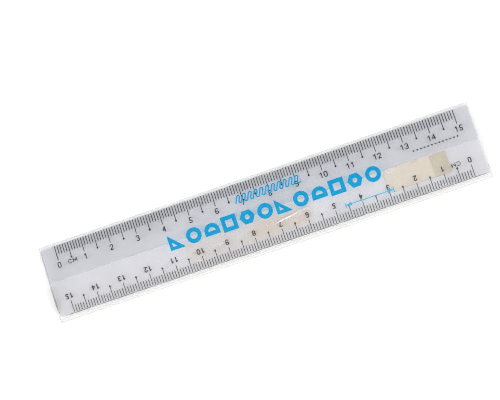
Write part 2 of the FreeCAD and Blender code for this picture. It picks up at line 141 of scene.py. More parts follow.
class StageSettings(bpy.types.PropertyGroup):
    floor: colour("Floor", "Colour of the plain floor", (0.90, 0.90, 0.90))
    ceiling: share("Ceiling light", "Brightness of the even light from overhead", 0.3)
    walls: FloatProperty(
        name="Wall light", description="Brightness of the light from near the horizon", default=1.6, min=0
    )
    left_power: power("Left light", "Power of the softbox on the left", 6.1)
    right_power: power("Right light", "Power of the softbox on the right", 6.9)
    top_power: power("Top light", "Power of the overhead softbox", 2.9)
    camera_place: FloatVectorProperty(
        name="Camera place",
        description="Where the camera stands",
        default=(37.8 * MM, -50.1 * MM, 494.0 * MM),
        subtype="TRANSLATION",
    )
    camera_turn: FloatVectorProperty(
        name="Camera turn",
        description="How the camera is turned from looking straight down",
        default=[math.radians(degrees) for degrees in (4.659, 6.459, -18.359)],
        subtype="EULER",
    )
    lens: FloatProperty(name="Lens", description="Focal length in millimetres", default=100.8)


# ---- shader building ------------------------------------------------------------------------------
def add_node(tree, kind, inputs=None, **attributes):
    """A new node with its attributes and the default values or links of its inputs."""
    node = tree.nodes.new(kind)
    for name, value in attributes.items():
        setattr(node, name, value)
    for name, value in (inputs or {}).items():
        if isinstance(value, bpy.types.NodeSocket):
            tree.links.new(value, node.inputs[name])
        else:
            node.inputs[name].default_value = value
    return node


def math_node(tree, operation, first, second=0.0, third=0.0, clamp=False):
    return add_node(
        tree, "ShaderNodeMath", {0: first, 1: second, 2: third}, operation=operation, use_clamp=clamp
    ).outputs[0]


def remap(tree, value, low, high, to_low=0.0, to_high=1.0):
    """value between low and high becomes to_low to to_high, smoothly."""
    return add_node(
        tree,
        "ShaderNodeMapRange",
        {"Value": value, "From Min": low, "From Max": high, "To Min": to_low, "To Max": to_high},
        interpolation_type="SMOOTHSTEP",
    ).outputs["Result"]


def remap_line(tree, value, to_low, to_high):
    """value from 0 to 1 becomes to_low to to_high, in a straight line."""
    limits = {"Value": value, "To Min": to_low, "To Max": to_high}
    return add_node(tree, "ShaderNodeMapRange", limits).outputs["Result"]


def mix_colour(tree, factor, first, second):
    node = tree.nodes.new("ShaderNodeMix")
    node.data_type = "RGBA"
    for name, value in (("Factor", factor), ("A", first), ("B", second)):
        socket = next(s for s in node.inputs if s.name == name and s.type != "VECTOR" and s.enabled)
        if isinstance(value, bpy.types.NodeSocket):
            tree.links.new(value, socket)
        else:
            socket.default_value = value
    return next(s for s in node.outputs if s.enabled)


def new_group(name, inputs, outputs):
    """An empty node group. inputs are (name, default) pairs, and outputs are names."""
    tree = bpy.data.node_groups.new(name, "ShaderNodeTree")
    for label, default in inputs:
        socket = tree.interface.new_socket(label, in_out="INPUT", socket_type="NodeSocketFloat")
        socket.default_value = default
    for label in outputs:
        tree.interface.new_socket(label, in_out="OUTPUT", socket_type="NodeSocketFloat")
    return tree, tree.nodes.new("NodeGroupInput").outputs, tree.nodes.new("NodeGroupOutput").inputs


def object_place(tree, scale=(1, 1, 1), turned=0.0):
    """Object coordinates, turned about Z and then stretched."""
    place = add_node(tree, "ShaderNodeTexCoord").outputs["Object"]
    mapped = add_node(tree, "ShaderNodeMapping", {"Vector": place, "Rotation": (0, 0, turned)})
    return add_node(
        tree, "ShaderNodeVectorMath", {0: mapped.outputs[0], 1: scale}, operation="MULTIPLY"
    ).outputs[0]


def noise_value(tree, place, scale, detail=2.0, roughness=0.5):
    return add_node(
        tree,
        "ShaderNodeTexNoise",
        {"Vector": place, "Scale": scale, "Detail": detail, "Roughness": roughness},
    ).outputs["Fac"]


def scratch_group():
    """Hairline scratches, most of them along the ruler and some across it at a slant."""
    tree, inputs, outputs = new_group("Hairline Scratches", [("Amount", 0.5)], ["Mask"])
    masks = []
    for turned, across in ((0.04, 3000.0), (-0.35, 2400.0), (0.9, 2000.0)):
        lines = noise_value(tree, object_place(tree, (90.0, across, 1.0), turned), 1.0, 3.0)
        patches = noise_value(tree, object_place(tree, (1, 1, 1), turned), 160.0)
        line = math_node(tree, "ABSOLUTE", math_node(tree, "SUBTRACT", lines, 0.5))
        sharp = remap(tree, line, 0.0, 0.012, 1.0, 0.0)
        where = remap(tree, patches, 0.52, 0.62)
        masks.append(math_node(tree, "MULTIPLY", sharp, where))
    most = math_node(tree, "MAXIMUM", math_node(tree, "MAXIMUM", masks[0], masks[1]), masks[2])
    tree.links.new(math_node(tree, "MULTIPLY", most, inputs["Amount"]), outputs["Mask"])
    return tree


def wear_group():
    """What is left of a rubbed ink: 1 where it is whole and 0 where it has gone."""
    tree, inputs, outputs = new_group("Rubbed Ink", [("Wear", 0.3), ("Grain", 2500.0)], ["Cover", "Thin"])
    place = object_place(tree)
    patches = noise_value(tree, place, 110.0, 3.0)
    grain = noise_value(tree, place, inputs["Grain"], 3.0, 0.6)
    rub = math_node(tree, "MULTIPLY", remap(tree, patches, 0.45, 0.75), inputs["Wear"])
    level = math_node(tree, "SUBTRACT", grain, math_node(tree, "MULTIPLY", rub, 0.75))
    tree.links.new(remap(tree, level, 0.10, 0.22), outputs["Cover"])
    tree.links.new(remap(tree, grain, 0.35, 0.65), outputs["Thin"])
    return tree


def speck_group():
    """Small specks of dust and grit, sparsely scattered."""
    tree, inputs, outputs = new_group("Dust Specks", [("Amount", 0.5)], ["Mask"])
    cells = add_node(
        tree, "ShaderNodeTexVoronoi", {"Vector": object_place(tree), "Scale": 420.0, "Randomness": 1.0}
    )
    chosen = add_node(tree, "ShaderNodeSeparateColor", {0: cells.outputs["Color"]})
    size = math_node(tree, "MULTIPLY", remap(tree, chosen.outputs[0], 0.75, 1.0), 0.09)
    near = math_node(tree, "LESS_THAN", cells.outputs["Distance"], size)
    tree.links.new(math_node(tree, "MULTIPLY", near, inputs["Amount"]), outputs["Mask"])
    return tree


def mottle_group():
    """Soft uneven clouding at two scales, between 0 and 1."""
    tree, inputs, outputs = new_group("Mottling", [("Fine share", 0.4)], ["Value"])
    place = object_place(tree)
    broad = noise_value(tree, place, 70.0, 3.0)
    fine = noise_value(tree, place, 900.0, 4.0, 0.6)
    blend = add_node(tree, "ShaderNodeMix", data_type="FLOAT")
    tree.links.new(inputs["Fine share"], blend.inputs["Factor"])
    tree.links.new(broad, blend.inputs["A"])
    tree.links.new(fine, blend.inputs["B"])
    tree.links.new(remap(tree, blend.outputs["Result"], 0.3, 0.7), outputs["Value"])
    return tree


GROUPS = {}


def group_output(tree, name, build, output, **inputs):
    """An output of the shared node group built by build, placed in this material with its own values."""
    if name not in GROUPS:
        GROUPS[name] = build()
    node = tree.nodes.new("ShaderNodeGroup")
    node.node_tree = GROUPS[name]
    for label, value in inputs.items():
        node.inputs[label.replace("_", " ")].default_value = value
    return node.outputs[output]


def new_material(name):
    """A material with an empty node tree, and the input its surface shader goes to."""
    material = bpy.data.materials.new(name)
    material.use_nodes = True
    tree = material.node_tree
    tree.nodes.clear()
    return material, tree, tree.nodes.new("ShaderNodeOutputMaterial").inputs["Surface"]


def bump(tree, height, distance):
    return add_node(
        tree, "ShaderNodeBump", {"Height": height, "Distance": distance, "Strength": 1.0}
    ).outputs[0]


def rgba(values):
    return (*values, 1.0)


def box_mask(tree, low, high, soft):
    """1 inside a rectangle on the ruler, falling to 0 over soft outside it, in millimetres."""
    low, high = flat3(*low), flat3(*high)
    soft *= MM
    place = add_node(tree, "ShaderNodeTexCoord").outputs["Object"]
    ragged = noise_value(tree, place, 500.0, 3.0)
    shift = math_node(tree, "MULTIPLY", math_node(tree, "SUBTRACT", ragged, 0.5), soft)
    axes = add_node(tree, "ShaderNodeSeparateXYZ", {0: place})
    mask = None
    for axis, start, end in ((0, low[0], high[0]), (1, low[1], high[1])):
        where = math_node(tree, "ADD", axes.outputs[axis], shift)
        rising = remap(tree, where, start - soft, start)
        falling = remap(tree, where, end, end + soft, 1.0, 0.0)
        both = math_node(tree, "MULTIPLY", rising, falling)
        mask = both if mask is None else math_node(tree, "MULTIPLY", mask, both)
    return mask


def unevenness(tree):
    """What one material's lines share: a value that makes them waver, and one that breaks them up."""
    place = add_node(tree, "ShaderNodeTexCoord").outputs["Object"]
    waver = math_node(tree, "SUBTRACT", noise_value(tree, place, 300.0, 1.0), 0.5)
    patchy = remap(tree, noise_value(tree, place, 700.0, 1.0), 0.3, 0.6, 0.45, 1.0)
    return waver, patchy


def line_mask(tree, uneven, start, end, width, strength, wobble=0.1):
    """strength along a slightly wavering line, falling to 0 at width and at its ends.

    start and end are places on the ruler, and width and wobble are in millimetres.
    """
    waver, patchy = uneven
    start, end = flat3(*start), flat3(*end)
    along_line = (end - start).normalized()
    across_line = Vector((-along_line.y, along_line.x, 0))
    run = (end - start).length
    fade = min(run * 0.35, 4 * MM)
    place = add_node(tree, "ShaderNodeTexCoord").outputs["Object"]
    away = add_node(tree, "ShaderNodeVectorMath", {0: place, 1: start}, operation="SUBTRACT").outputs[0]
    along, aside = [
        add_node(tree, "ShaderNodeVectorMath", {0: away, 1: way}, operation="DOT_PRODUCT").outputs["Value"]
        for way in (along_line, across_line)
    ]
    aside = math_node(tree, "MULTIPLY_ADD", waver, wobble * MM * 4, aside)
    aside = math_node(tree, "ABSOLUTE", aside)
    rising = remap(tree, along, 0.0, fade)
    falling = remap(tree, along, run - fade, run, strength, 0.0)
    ends = math_node(tree, "MULTIPLY", rising, falling)
    band = remap(tree, aside, 0.0, width * MM, 1.0, 0.0)
    return math_node(tree, "MULTIPLY", math_node(tree, "MULTIPLY", band, ends), patchy)


def flat3(x, y):
    """A place on the ruler, from millimetres along it and millimetres up from its ridge."""
    return Vector((x * MM, y * MM + RIDGE_Y, 0))


def strongest(tree, masks):
    most = masks[0]
    for mask in masks[1:]:
        most = math_node(tree, "MAXIMUM", most, mask)
    return most


# ---- marks ----------------------------------------------------------------------------------------
# Places are in millimetres along the ruler and up from its ridge.
OLD_TAPE = ((-28.0, -7.4), (15.0, -3.4), 3.5)  # low corner, high corner, fade
# Painted glints where air is trapped under the tape's upper-left corner: low corner, high corner, fade.
AIR_GLINT_PATCH = ((44.9, -1.4), (49.0, -0.1), 0.4)
# Painted shade along a wrinkle near the tape's top edge.
TAPE_WRINKLE_SHADE = ((55.0, -0.75), (58.6, -0.3), 0.2, 0.8, 0.3)  # start, end, half width, strength, wobble
CREASES = (
    # start, end, share of a sharp crease's full height
    ((2.8, -5.75), (17.0, -3.7), 1.0),
    ((-20.5, -6.9), (-14.0, -5.6), 0.25),
    ((61.0, -11.6), (68.0, -11.9), 0.4),
    ((-14.0, -11.8), (-6.5, -12.1), 0.4),
)
CREASE_WHITE_AND_HIGHLIGHTS = (
    # start, end, half width, strength of the white lines: along the creases they are partly
    # stress-whitened film and partly a painted highlight, the line just below the ridge and the line along
    # the lower slope are painted highlights, and the rest are faint white streaks
    ((2.8, -5.75), (11.0, -4.55), 0.36, 1.0),
    ((8.0, -5.0), (17.0, -3.65), 0.22, 0.85),
    ((6.5, -5.5), (14.5, -4.35), 0.10, 0.3),
    ((-20.5, -6.9), (-14.0, -5.6), 0.14, 0.3),
    ((-48.0, -6.2), (-41.5, -5.9), 0.10, 0.12),
    ((29.5, -7.9), (33.0, -7.3), 0.12, 0.25),
    ((-80.2, -0.22), (80.6, -0.22), 0.16, 0.10),
    ((-80.2, -13.1), (80.9, -13.1), 0.16, 0.35),
)
BLADE_EDGE_SHADE = (
    # start, end, half width, strength of the painted shade: grey lines along the blade's edges and its
    # ridge, where the blade's edges throw shade and bend the light
    ((-80.45, -12.3), (-80.45, 0.2), 0.22, 0.75),
    ((-80.3, -12.62), (80.5, -12.62), 0.17, 0.45),
    ((20.0, -12.62), (82.0, -12.62), 0.17, 0.5),
    ((-80.2, 0.12), (80.6, 0.12), 0.18, 0.11),
    ((80.72, -12.2), (80.72, -8.2), 0.16, 0.6),
    ((-80.3, 12.72), (80.6, 12.72), 0.14, 0.08),
)


# ---- materials ------------------------------------------------------------------------------------
PLASTIC_IOR = 1.5


def let_light_through(tree, body, tint):
    """The shader body, through which light from the lamps and from other matt surfaces goes straight."""
    path = add_node(tree, "ShaderNodeLightPath")
    for ray in ("Is Diffuse Ray", "Is Shadow Ray"):
        clear = add_node(tree, "ShaderNodeBsdfTransparent", {"Color": tint})
        sides = {0: path.outputs[ray], 1: body, 2: clear.outputs[0]}
        body = add_node(tree, "ShaderNodeMixShader", sides).outputs[0]
    return body


def clear_plastic(settings):
    """Clear moulded plastic: stained where tape was stuck, scratched and a little milky."""
    material, tree, surface = new_material("scratched_clear_plastic")
    scratches = group_output(tree, "scratches", scratch_group, "Mask", Amount=1.0)
    mottle = group_output(tree, "mottle", mottle_group, "Value", Fine_share=0.35)
    specks = group_output(tree, "specks", speck_group, "Mask", Amount=0.8)
    darker = tuple(c * 0.955 for c in settings.tint)
    tint = mix_colour(tree, mottle, rgba(darker), rgba(settings.tint))
    old_tape = box_mask(tree, *OLD_TAPE)
    stained = math_node(tree, "MULTIPLY", old_tape, remap(tree, mottle, 0.1, 0.9, 0.15, 0.6))
    tint = mix_colour(tree, stained, tint, rgba(settings.stain))
    tint = mix_colour(tree, specks, tint, rgba((0.35, 0.34, 0.32)))
    rough = remap(tree, scratches, 0.0, 1.0, settings.gloss_roughness, settings.scratch_roughness)
    normal = bump(tree, mottle, settings.unevenness)
    glass = add_node(
        tree,
        "ShaderNodeBsdfPrincipled",
        {
            "Base Color": tint,
            "Roughness": rough,
            "Normal": normal,
            "IOR": PLASTIC_IOR,
            "Transmission Weight": 1.0,
        },
    )
    milky = add_node(
        tree,
        "ShaderNodeBsdfPrincipled",
        {"Base Color": rgba((0.80, 0.82, 0.85)), "Roughness": 0.35, "IOR": PLASTIC_IOR},
    )
    sides = {0: settings.cloud, 1: glass.outputs[0], 2: milky.outputs[0]}
    body = add_node(tree, "ShaderNodeMixShader", sides).outputs[0]
    tree.links.new(let_light_through(tree, body, tint), surface)
    return material


def ink(name, colour_value, wear, roughness, grain=2500.0, glow=None):
    """A thin layer of ink that has rubbed away in places, and lets through light of colour glow."""
    material, tree, surface = new_material(name)
    cover = group_output(tree, "wear", wear_group, "Cover", Wear=wear, Grain=grain)
    thin = group_output(tree, "wear", wear_group, "Thin", Wear=wear, Grain=grain)
    lighter = tuple(min(1.0, c * 1.2 + 0.008) for c in colour_value)
    shade = mix_colour(tree, thin, rgba(lighter), rgba(colour_value))
    shader = add_node(
        tree,
        "ShaderNodeBsdfPrincipled",
        {
            "Base Color": shade,
            "Roughness": remap(tree, thin, 0.0, 1.0, roughness * 1.3, roughness * 0.8),
            "Normal": bump(tree, thin, 0.003 * MM),
            "Alpha": cover,
            "Specular IOR Level": 0.12,
        },
    )
    body = shader.outputs[0]
    if glow is not None:
        body = let_light_through(tree, body, rgba(glow))
    tree.links.new(body, surface)
    return material


def aged_tape(settings):
    """Yellowed tape with a darker doubled end, painted shade along its crinkles and one wrinkle, and
    painted glints where air is trapped under it.
    """
    material, tree, surface = new_material("aged_tape")
    doubled = add_node(tree, "ShaderNodeAttribute", attribute_name="doubled").outputs["Fac"]
    crinkle_shade = add_node(tree, "ShaderNodeAttribute", attribute_name="crinkle").outputs["Fac"]
    mottle = group_output(tree, "mottle", mottle_group, "Value", Fine_share=0.5)
    specks = group_output(tree, "specks", speck_group, "Mask", Amount=0.7)
    shade = mix_colour(tree, doubled, rgba(settings.single), rgba(settings.double))
    shade = mix_colour(tree, math_node(tree, "MULTIPLY", mottle, 0.3), shade, rgba((0.97, 0.91, 0.80)))
    # Painted shade: the tape goes darker along its crinkles.
    shade = mix_colour(tree, math_node(tree, "MULTIPLY", crinkle_shade, 0.5), shade, rgba((0.62, 0.52, 0.34)))
    crushed = noise_value(tree, object_place(tree, (900.0, 1400.0, 1.0), 0.5), 1.0, 4.0, 0.65)
    crushed = math_node(tree, "MULTIPLY", remap(tree, crushed, 0.42, 0.6), doubled)
    shade = mix_colour(tree, math_node(tree, "MULTIPLY", crushed, 0.4), shade, rgba((0.56, 0.47, 0.30)))
    # Painted shade: a darker line along a wrinkle.
    wrinkle_shade = line_mask(tree, unevenness(tree), *TAPE_WRINKLE_SHADE)
    shade = mix_colour(tree, wrinkle_shade, shade, rgba((0.55, 0.46, 0.28)))
    glint_patch = box_mask(tree, *AIR_GLINT_PATCH)
    air = noise_value(tree, object_place(tree), 1500.0, 3.0)
    air = math_node(tree, "MULTIPLY", remap(tree, air, 0.5, 0.58), glint_patch)
    # Painted glints: where air is trapped, the tape turns white, as it does at the specks.
    specks = math_node(tree, "MAXIMUM", specks, air)
    shade = mix_colour(tree, specks, shade, rgba((0.99, 0.99, 0.97)))
    fibres = noise_value(tree, object_place(tree, (300.0, 4200.0, 1.0), 0.02), 1.0, 3.0)
    shader = add_node(
        tree,
        "ShaderNodeBsdfPrincipled",
        {
            "Base Color": shade,
            "Roughness": remap(tree, mottle, 0.0, 1.0, 0.35, 0.6),
            "Normal": bump(tree, math_node(tree, "ADD", fibres, mottle), 0.008 * MM),
            "Alpha": remap(tree, mottle, 0.0, 1.0, 0.99, 0.93),
        },
    )
    tree.links.new(shader.outputs[0], surface)
    return material


def clear_film(settings):
    """Thin clear film: it mirrors a little, and turns white where it is creased, welded or scratched;
    along its creases, below the ridge and along its lower slope it also carries painted highlights, and
    along the blade's edges and ridge painted grey shade.
    """
    material, tree, surface = new_material("creased_clear_film")
    crease = add_node(tree, "ShaderNodeAttribute", attribute_name="crease").outputs["Fac"]
    uneven = unevenness(tree)
    # White lines on the film: partly whitened film along the creases, and painted highlights below the
    # ridge and along the lower slope.
    white_and_highlights = strongest(tree, [line_mask(tree, uneven, *line) for line in CREASE_WHITE_AND_HIGHLIGHTS])
    edge_shade = strongest(tree, [line_mask(tree, uneven, *line, wobble=0.03) for line in BLADE_EDGE_SHADE])
    weld = add_node(tree, "ShaderNodeAttribute", attribute_name="weld").outputs["Fac"]
    mottle = group_output(tree, "mottle", mottle_group, "Value", Fine_share=0.25)
    scratches = group_output(tree, "scratches", scratch_group, "Mask", Amount=0.35)
    ripples = noise_value(tree, object_place(tree, (45.0, 170.0, 1.0), 0.12), 1.0, 2.0)
    waves = math_node(tree, "MULTIPLY_ADD", mottle, 0.05, ripples)
    normal = bump(tree, waves, 0.05 * MM)
    rough = remap(tree, mottle, 0.0, 1.0, settings.roughness * 0.7, settings.roughness * 1.6)
    mirror = add_node(
        tree,
        "ShaderNodeBsdfPrincipled",
        {"Base Color": rgba((1, 1, 1)), "Metallic": 1.0, "Roughness": rough, "Normal": normal},
    )
    facing = add_node(tree, "ShaderNodeLayerWeight", {"Blend": 0.5, "Normal": normal}).outputs["Facing"]
    slanted = math_node(tree, "POWER", facing, 5.0)
    gloss = remap_line(tree, slanted, settings.gloss, 1.0)
    # Painted shade: the film turns dark grey and opaque along the blade's edges and ridge.
    edge_shade_darkness = math_node(tree, "MULTIPLY", edge_shade, 3.0, clamp=True)
    shade = mix_colour(tree, edge_shade_darkness, rgba((0.95, 0.955, 0.95)), rgba((0.16, 0.16, 0.17)))
    haze = remap(tree, mottle, 0.0, 1.0, settings.haze * 0.5, settings.haze * 1.5)
    # Haze over scratches and welds is the film's own milkiness; over the creases it is partly whitened
    # film and partly a painted highlight.
    for mask, strength in ((scratches, 0.05), (weld, 0.22), (crease, 0.2)):
        haze = math_node(tree, "MULTIPLY_ADD", mask, strength, haze, clamp=True)
    milky = add_node(
        tree,
        "ShaderNodeBsdfPrincipled",
        {
            "Base Color": shade,
            "Roughness": 0.5,
            "IOR": PLASTIC_IOR,
            "Alpha": strongest(tree, [haze, white_and_highlights, edge_shade]),
        },
    )
    sides = {0: gloss, 1: milky.outputs[0], 2: mirror.outputs[0]}
    tree.links.new(add_node(tree, "ShaderNodeMixShader", sides).outputs[0], surface)
    return material


def matt_floor(settings):
    """A plain pale studio floor with the faintest unevenness."""
    material, tree, surface = new_material("studio_floor")
    uneven = noise_value(tree, object_place(tree), 6.0, 2.0)
    floor = settings.floor
    shade = mix_colour(tree, uneven, rgba(tuple(c * 0.99 for c in floor)), rgba(floor))
    shader = add_node(tree, "ShaderNodeBsdfPrincipled", {"Base Color": shade, "Roughness": 0.8})
    tree.links.new(shader.outputs[0], surface)
    return material


# ---- mesh helpers ---------------------------------------------------------------------------------
def rounded_line(corners, reach):
    """The line through corners, each inner one rounded off within reach of it."""
    line = [corners[0]]
    most = 1 / 2.2  # share of a run that one rounding may take
    for before, corner, after in zip(corners, corners[1:], corners[2:]):
        to_before, to_after = before - corner, after - corner
        start = corner + to_before.normalized() * min(reach, to_before.length * most)
        end = corner + to_after.normalized() * min(reach, to_after.length * most)
        handles = (start.lerp(corner, 0.6), end.lerp(corner, 0.6))
        line += geometry.interpolate_bezier(start, handles[0], handles[1], end, 8)
    line.append(corners[-1])
    return line


class Route:
    """A line that gives the place at a share of its length."""

    def __init__(self, line):
        self.line = line
        self.reached = [0.0]
        for a, b in zip(line, line[1:]):
            self.reached.append(self.reached[-1] + (b - a).length)

    def at(self, share_of_length):
        goal = max(0.0, min(1.0, share_of_length)) * self.reached[-1]
        i = 1
        while i < len(self.reached) - 1 and self.reached[i] < goal:
            i += 1
        step = self.reached[i] - self.reached[i - 1]
        part = (goal - self.reached[i - 1]) / step if step > 0 else 0.0
        return self.line[i - 1].lerp(self.line[i], part)


def flat2(x, y):
    return Vector((x, y))


def unit_grid(columns, rows):
    """A grid of faces over the unit square, from 0 to 1 both ways."""
    mesh = bmesh.new()
    bmesh.ops.create_grid(mesh, x_segments=columns, y_segments=rows, size=0.5)
    bmesh.ops.translate(mesh, vec=(0.5, 0.5, 0), verts=mesh.verts)
    return mesh


def smooth_step(value):
    value = max(0.0, min(1.0, value))
    return value * value * (3 - 2 * value)


def new_piece(name, mesh, body, material):
    """A finished object from a bmesh, on its body and with its slot and material."""
    data = bpy.data.meshes.new(name)
    mesh.to_mesh(data)
    mesh.free()
    for face in data.polygons:
        face.use_smooth = True
    data.materials.append(material)
    piece = bpy.data.objects.new(name, data)
    bpy.context.scene.collection.objects.link(piece)
    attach(piece, body)
    return piece


def set_material(node, material):
    """Gives a CAD node one material in place of its plain one."""
    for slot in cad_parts[node].material_slots:
        slot.material = material


def give_wall(mesh, thickness):
    """Turns an open sheet into a closed one of that thickness, with its faces outwards."""
    bmesh.ops.recalc_face_normals(mesh, faces=mesh.faces)
    if sum(f.normal.z for f in mesh.faces) < 0:
        bmesh.ops.reverse_faces(mesh, faces=mesh.faces)
    bmesh.ops.solidify(mesh, geom=mesh.faces[:], thickness=thickness)
    bmesh.ops.recalc_face_normals(mesh, faces=mesh.faces)


def round_corner(place, low, high, radius):
    """place moved inwards so that the rectangle's corners become round."""
    centre_x = min(max(place.x, low.x + radius), high.x - radius)
    centre_y = min(max(place.y, low.y + radius), high.y - radius)
    centre = flat2(centre_x, centre_y)
    out = flat2(place.x, place.y) - centre
    if min(abs(out.x), abs(out.y)) > 1e-9:
        place.x, place.y = centre + out.normalized() * max(abs(out.x), abs(out.y))


# ---- sleeve ---------------------------------------------------------------------------------------
SLEEVE_CORNER = 0.4 * MM
BACK_FILM_FACES = (220, 48)


def crease_at(x, y, width):
    """How much of a crease's height stands at a place; the film's material turns this into white haze,
    partly whitened film and partly a painted highlight.
    """
    height = 0.0
    for start, end, full in CREASES:
        a = flat2(start[0] * MM, start[1] * MM + RIDGE_Y)
        b = flat2(end[0] * MM, end[1] * MM + RIDGE_Y)
        along = (flat2(x, y) - a).dot(b - a) / (b - a).length_squared
        if not -0.02 < along < 1.02:
            continue
        bow = 0.25 * MM * math.sin(math.pi * along)
        aside = (flat2(x, y) - a.lerp(b, along)).length - bow * 0.3
        fade = math.sin(math.pi * max(0.0, min(1.0, along))) ** 0.6
        height = max(height, full * fade * math.exp(-((aside / width) ** 2)))
    return height


def film_dip(x, y):
    """How far the film dips between its tight places, from 0 to 1."""
    long_wave = noise.noise(Vector((x * 55, y * 210, 4.2)))
    slanting = noise.noise(Vector(((x + y * 1.4) * 120, (y - x * 0.3) * 260, 9.7)))
    return max(0.0, min(1.0, 0.5 + 0.75 * long_wave + 0.35 * slanting))


def front_film_cross_line(settings, seam_top):
    """The front film's upper surface from the lower edge to the upper edge, as (y, z)."""
    over = FILM_HIGH.z
    rise = settings.film_thickness
    shoulder = BLADE_LOW.y - 0.3 * MM
    corner = BLADE_HIGH.y + 0.27 * MM
    foot_low = FILM_LOW.y + 0.78 * MM
    foot_high = FILM_HIGH.y - 0.72 * MM
    bead = settings.bead_height
    wide = settings.bead_width
    corners = [
        flat2(FILM_LOW.y, seam_top - bead * 0.5),
        flat2(FILM_LOW.y + wide * 0.35, seam_top + bead),
        flat2(FILM_LOW.y + wide, seam_top),
        flat2(foot_low, seam_top),
        flat2(shoulder, over - FACET_SLOPE * (RIDGE_Y - shoulder)),
        flat2(RIDGE_Y, over),
        flat2(corner, over - FACET_SLOPE * (corner - RIDGE_Y)),
        flat2(foot_high, seam_top + rise * 0.2),
        flat2(FILM_HIGH.y - wide, seam_top),
        flat2(FILM_HIGH.y - wide * 0.35, seam_top + bead),
        flat2(FILM_HIGH.y, seam_top - bead * 0.5),
    ]
    return Route(rounded_line(corners, settings.fold_reach))


def front_film_end_line():
    """Places along the film and how far it has risen there from the seam to the roof, as (x, rise)."""
    step = 1.3 * MM
    corners = [
        flat2(FILM_LOW.x, 0),
        flat2(FILM_LOW.x + 0.37 * MM, 0),
        flat2(FILM_LOW.x + 0.47 * MM, step),
        flat2(FILM_LOW.x + 4 * MM, step),
    ]
    return Route(rounded_line(corners, 0.12 * MM)), step


def build_front_film(settings, material):
    """The front film: flat seams on three sides and a creased, rippled tunnel over the blade."""
    seam_top = BACK_HIGH.z + settings.film_thickness + 0.004 * MM
    across = front_film_cross_line(settings, seam_top)
    closed_end, step = front_film_end_line()
    end_share = 0.1
    end_x = closed_end.line[-1].x
    mesh = unit_grid(settings.columns, settings.rows)
    crease_layer = mesh.verts.layers.float.new("crease")
    weld_layer = mesh.verts.layers.float.new("weld")
    for vert in mesh.verts:
        u, v = vert.co.x, vert.co.y
        if u < end_share:
            x, rise = closed_end.at(u / end_share)
        else:
            x, rise = end_x + (FILM_HIGH.x - end_x) * (u - end_share) / (1 - end_share), step
        y, roof = across.at(v)
        lift = smooth_step(rise / step) if rise < step else 1.0
        z = seam_top + (roof - seam_top) * lift
        loose = smooth_step((z - seam_top) / (0.6 * MM))
        edge_free = smooth_step((FILM_HIGH.x - x) / (1.5 * MM))
        dip = film_dip(x, y) * settings.ripple * loose * edge_free
        fold = crease_at(x, y, settings.crease_width)
        vert.co = (x, y, z - dip + fold * settings.crease_height)
        round_corner(vert.co, FILM_LOW, FILM_HIGH, SLEEVE_CORNER)
        vert[crease_layer] = fold
        bead = min(y - FILM_LOW.y, FILM_HIGH.y - y, x - FILM_LOW.x)
        vert[weld_layer] = max(1 - bead / settings.bead_width, 0.1 * (1 - loose))
    give_wall(mesh, settings.film_thickness)
    film = new_piece("sleeve_front", mesh, "sleeve", material)
    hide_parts("front_film")


def build_back_film(settings, material):
    """The back film: flat on the surface, a little rippled under the blade."""
    mesh = unit_grid(*BACK_FILM_FACES)
    weld_layer = mesh.verts.layers.float.new("weld")
    top = settings.film_thickness
    for vert in mesh.verts:
        x = BACK_LOW.x + (BACK_HIGH.x - BACK_LOW.x) * vert.co.x
        y = BACK_LOW.y + (BACK_HIGH.y - BACK_LOW.y) * vert.co.y
        edge = min(y - BACK_LOW.y, BACK_HIGH.y - y, x - BACK_LOW.x, BACK_HIGH.x - x)
        inside = smooth_step((edge - 1.2 * MM) / (2 * MM))
        ripple = 0.022 * MM * film_dip(x * 1.3 + 0.5, y * 0.7) * inside
        vert.co = (x, y, top + ripple)
        round_corner(vert.co, BACK_LOW, BACK_HIGH, SLEEVE_CORNER)
        vert[weld_layer] = max(0.0, 1 - edge / settings.bead_width)
    give_wall(mesh, top)
    film = new_piece("sleeve_back", mesh, "sleeve", material)
    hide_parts("back_film")


# ---- tape -----------------------------------------------------------------------------------------
def tape_crinkle(x, y):
    """A web of fine crinkles, from 0 to 1."""
    web = abs(noise.noise(Vector((x * 420, y * 900, 1.3)))) * 2.2
    slant = abs(noise.noise(Vector(((x - y) * 600, (x + y) * 260, 7.1)))) * 2.0
    return 1 - min(1.0, min(web, slant) * 4)


